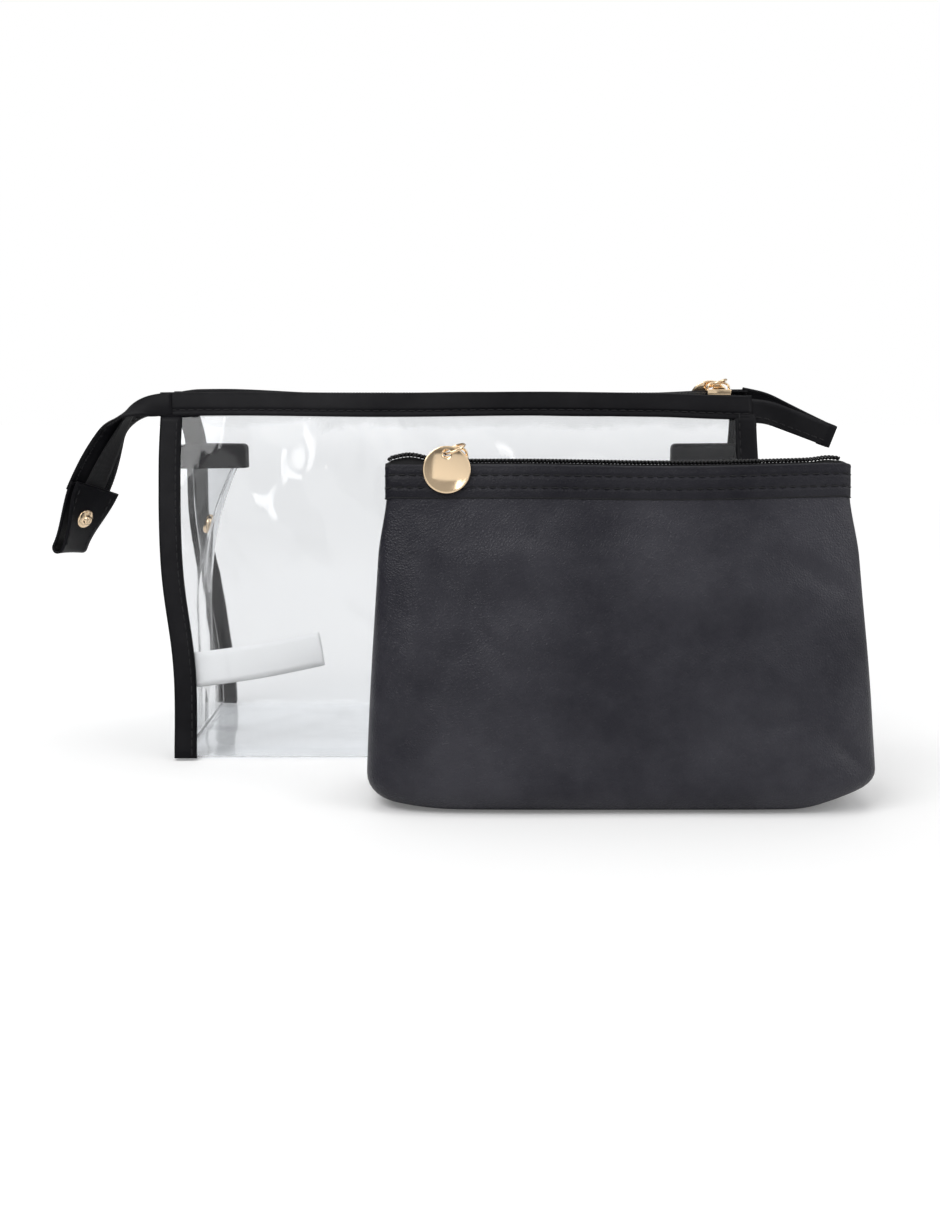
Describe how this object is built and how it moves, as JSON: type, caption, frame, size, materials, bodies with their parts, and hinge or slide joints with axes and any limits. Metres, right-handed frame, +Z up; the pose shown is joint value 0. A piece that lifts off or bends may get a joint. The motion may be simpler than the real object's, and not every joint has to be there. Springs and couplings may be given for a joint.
{
  "type": "makeup bag set",
  "caption": "Clear zip-top makeup case with black leather-look bindings and folding ears, and a black zip pouch with a gold disc pull.",
  "frame": {"origin": "middle of the underside of the clear case's base", "axes": "+X to the right along the case's length, -Y to the front where the pouch stands, +Z up"},
  "size_m": [0.3392, 0.179, 0.1616],
  "materials": {
    "clear_pvc": "clear flexible sheet",
    "black_leather": "smooth faux leather strip",
    "pouch_leather": "soft matte faux leather",
    "lining_cloth": "thin woven lining",
    "zip_tape": "woven tape",
    "zip_coil": "nylon coil",
    "gold_metal": "polished pale gold plating",
    "label_ribbon": "white satin ribbon"
  },
  "bodies": {
    "case": {"clear_wrap": "clear_pvc", "left_gusset": "clear_pvc", "right_gusset": "clear_pvc", "front_left_binding": "black_leather", "front_right_binding": "black_leather", "back_left_binding": "black_leather", "back_right_binding": "black_leather", "left_gusset_binding": "black_leather", "right_gusset_binding": "black_leather", "gusset_snap_socket": "gold_metal", "care_label": "label_ribbon", "case_back_band": "black_leather", "case_back_zip_tape": "zip_tape", "case_back_zip_coil": "zip_coil", "case_zip_stop": "zip_coil"},
    "case_lip": {"case_front_band": "black_leather", "case_front_zip_tape": "zip_tape", "case_front_zip_coil": "zip_coil"},
    "case_slider": {"case_zip_slider": "gold_metal"},
    "case_pull": {"case_jump_ring": "gold_metal", "case_disc_pull": "gold_metal"},
    "left_ear": {"left_ear_front_strap": "black_leather", "left_ear_back_strap": "black_leather", "left_ear_tape": "zip_tape", "left_ear_tab": "black_leather", "left_ear_snap": "gold_metal"},
    "right_ear": {"right_ear_front_strap": "black_leather", "right_ear_back_strap": "black_leather", "right_ear_tape": "zip_tape", "right_ear_end_wrap": "black_leather"},
    "pouch": {"pouch_front_shell": "pouch_leather", "pouch_back_shell": "pouch_leather", "pouch_lining": "lining_cloth", "pouch_front_facing": "pouch_leather", "pouch_front_zip_tape": "zip_tape", "pouch_front_zip_coil": "zip_coil", "pouch_zip_stop": "zip_coil"},
    "pouch_lip": {"pouch_back_facing": "pouch_leather", "pouch_back_zip_tape": "zip_tape", "pouch_back_zip_coil": "zip_coil"},
    "pouch_slider": {"pouch_zip_slider": "gold_metal"},
    "pouch_ring": {"pouch_jump_ring": "gold_metal"},
    "pouch_disc": {"pouch_disc_pull": "gold_metal"}
  },
  "joints": [
    {"name": "case_zip", "type": "slide", "parent": "case", "child": "case_slider", "axis": [-1, 0, 0], "range_m": [0, 0.232], "deforming": ["case_front_zip_coil", "case_back_zip_coil"]},
    {"name": "case_mouth", "type": "slide", "parent": "case", "child": "case_lip", "axis": [0, -1, 0], "range_m": [0, 0.03]},
    {"name": "case_pull_swing", "type": "hinge", "parent": "case_slider", "child": "case_pull", "pos_m": [0.116, 0, 0.1599], "axis": [1, 0, 0], "range_deg": [0, 100]},
    {"name": "left_ear_fold", "type": "hinge", "parent": "case", "child": "left_ear", "pos_m": [-0.1312, 0, 0.1535], "axis": [0, -1, 0], "range_deg": [-70, 24]},
    {"name": "right_ear_fold", "type": "hinge", "parent": "case", "child": "right_ear", "pos_m": [0.1312, 0, 0.1535], "axis": [0, 1, 0], "range_deg": [-35, 50]},
    {"name": "pouch_lift", "type": "slide", "parent": "case", "child": "pouch", "axis": [0, 0, 1], "range_m": [0, 0.2]},
    {"name": "pouch_zip", "type": "slide", "parent": "pouch", "child": "pouch_slider", "axis": [1, 0, 0], "range_m": [0, 0.137], "deforming": ["pouch_front_zip_coil", "pouch_back_zip_coil"]},
    {"name": "pouch_mouth", "type": "slide", "parent": "pouch", "child": "pouch_lip", "axis": [0, 1, 0], "range_m": [0, 0.03]},
    {"name": "pouch_ring_swing", "type": "hinge", "parent": "pouch_slider", "child": "pouch_ring", "pos_m": [-0.001, -0.098, 0.1349], "axis": [-1, 0, 0], "range_deg": [0, 100]},
    {"name": "pouch_disc_swing", "type": "hinge", "parent": "pouch_ring", "child": "pouch_disc", "pos_m": [-0.00376, -0.10339, 0.13284], "axis": [-1, 0, 0], "range_deg": [0, 35]}
  ],
  "couplings": [
    {"joint": "case_mouth", "follows": "case_zip", "ratio": 0.1293},
    {"joint": "pouch_mouth", "follows": "pouch_zip", "ratio": 0.2189}
  ]
}
